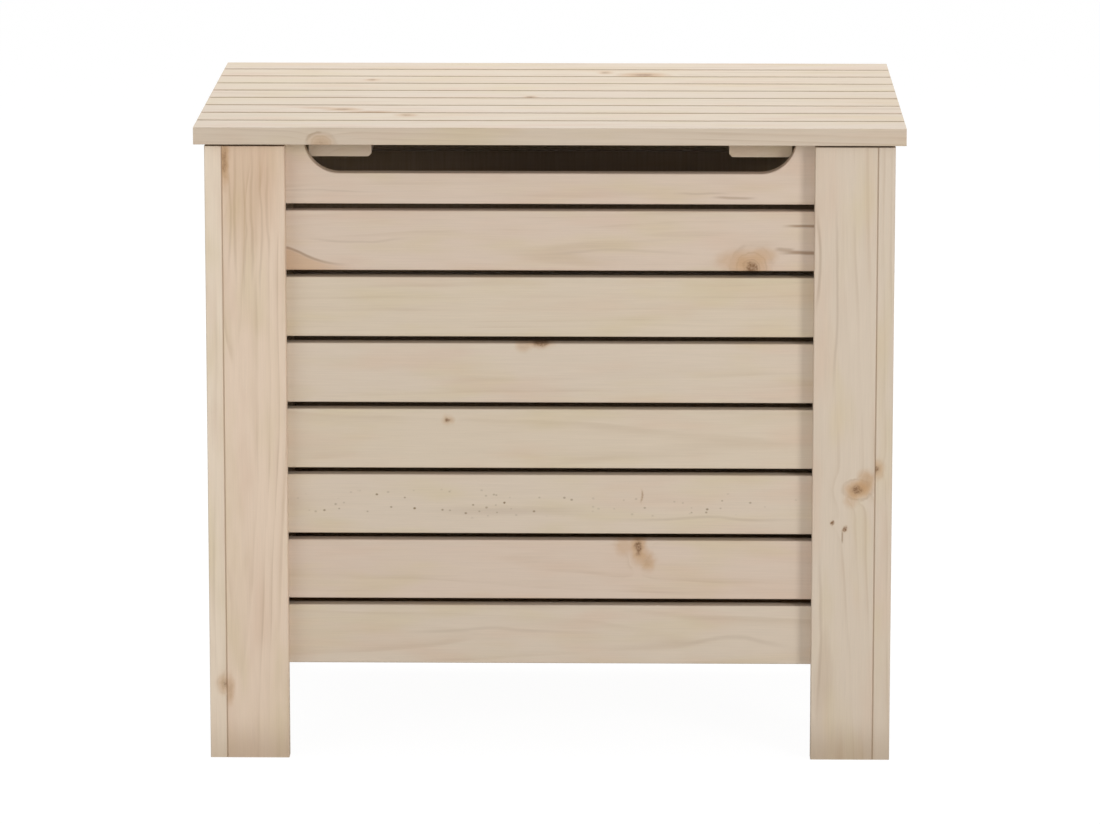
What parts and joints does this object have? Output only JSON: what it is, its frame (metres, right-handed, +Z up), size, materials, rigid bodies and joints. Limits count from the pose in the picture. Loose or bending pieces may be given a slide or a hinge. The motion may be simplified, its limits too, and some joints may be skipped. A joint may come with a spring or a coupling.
{
  "type": "wooden storage box",
  "caption": "Slatted pine storage box on board legs, with an overhanging slatted lid on rear hinges and a wide hand grip cut into the top front slat.",
  "frame": {"origin": "on the floor, under the middle of the lid's outline", "axes": "+X to the right along the front, +Y to the back, +Z up"},
  "size_m": [0.7, 0.49, 0.639],
  "materials": {
    "pine_legs": "planed, untreated",
    "pine_walls": "planed, untreated",
    "pine_lid": "planed, untreated",
    "pine_inside": "sawn, untreated",
    "floor_plywood": "sanded plywood",
    "hinge_steel": "zinc plated",
    "screw_steel": "zinc plated",
    "bumper_rubber": "matt"
  },
  "bodies": {
    "box": {"front_leg_left": "pine_legs", "front_leg_right": "pine_legs", "back_leg_left": "pine_legs", "back_leg_right": "pine_legs", "side_leg_front_left": "pine_legs", "side_leg_front_right": "pine_legs", "side_leg_back_left": "pine_legs", "side_leg_back_right": "pine_legs", "front_slat_1": "pine_walls", "front_slat_2": "pine_walls", "front_slat_3": "pine_walls", "front_slat_4": "pine_walls", "front_slat_5": "pine_walls", "front_slat_6": "pine_walls", "front_slat_7": "pine_walls", "front_slat_8": "pine_walls", "back_slat_1": "pine_walls", "back_slat_2": "pine_walls", "back_slat_3": "pine_walls", "back_slat_4": "pine_walls", "back_slat_5": "pine_walls", "back_slat_6": "pine_walls", "back_slat_7": "pine_walls", "back_slat_8": "pine_walls", "left_slat_1": "pine_walls", "left_slat_2": "pine_walls", "left_slat_3": "pine_walls", "left_slat_4": "pine_walls", "left_slat_5": "pine_walls", "left_slat_6": "pine_walls", "left_slat_7": "pine_walls", "left_slat_8": "pine_walls", "right_slat_1": "pine_walls", "right_slat_2": "pine_walls", "right_slat_3": "pine_walls", "right_slat_4": "pine_walls", "right_slat_5": "pine_walls", "right_slat_6": "pine_walls", "right_slat_7": "pine_walls", "right_slat_8": "pine_walls", "corner_posts": "pine_inside", "floor_cleats": "pine_inside", "floor_panel": "floor_plywood", "lid_bumpers": "bumper_rubber", "hinge_leg_leaves": "hinge_steel", "hinge_pins": "hinge_steel", "hinge_leg_screws": "screw_steel"},
    "lid": {"lid_slat_1": "pine_lid", "lid_slat_2": "pine_lid", "lid_slat_3": "pine_lid", "lid_slat_4": "pine_lid", "lid_slat_5": "pine_lid", "lid_slat_6": "pine_lid", "lid_slat_7": "pine_lid", "lid_slat_8": "pine_lid", "lid_slat_9": "pine_lid", "lid_batten_left": "pine_lid", "lid_batten_right": "pine_lid", "hinge_lid_leaves": "hinge_steel", "hinge_lid_screws": "screw_steel"}
  },
  "joints": [
    {"name": "lid_hinge", "type": "hinge", "parent": "box", "child": "lid", "pos_m": [0, 0.22385, 0.61815], "axis": [-1, 0, 0], "range_deg": [0, 100]}
  ]
}
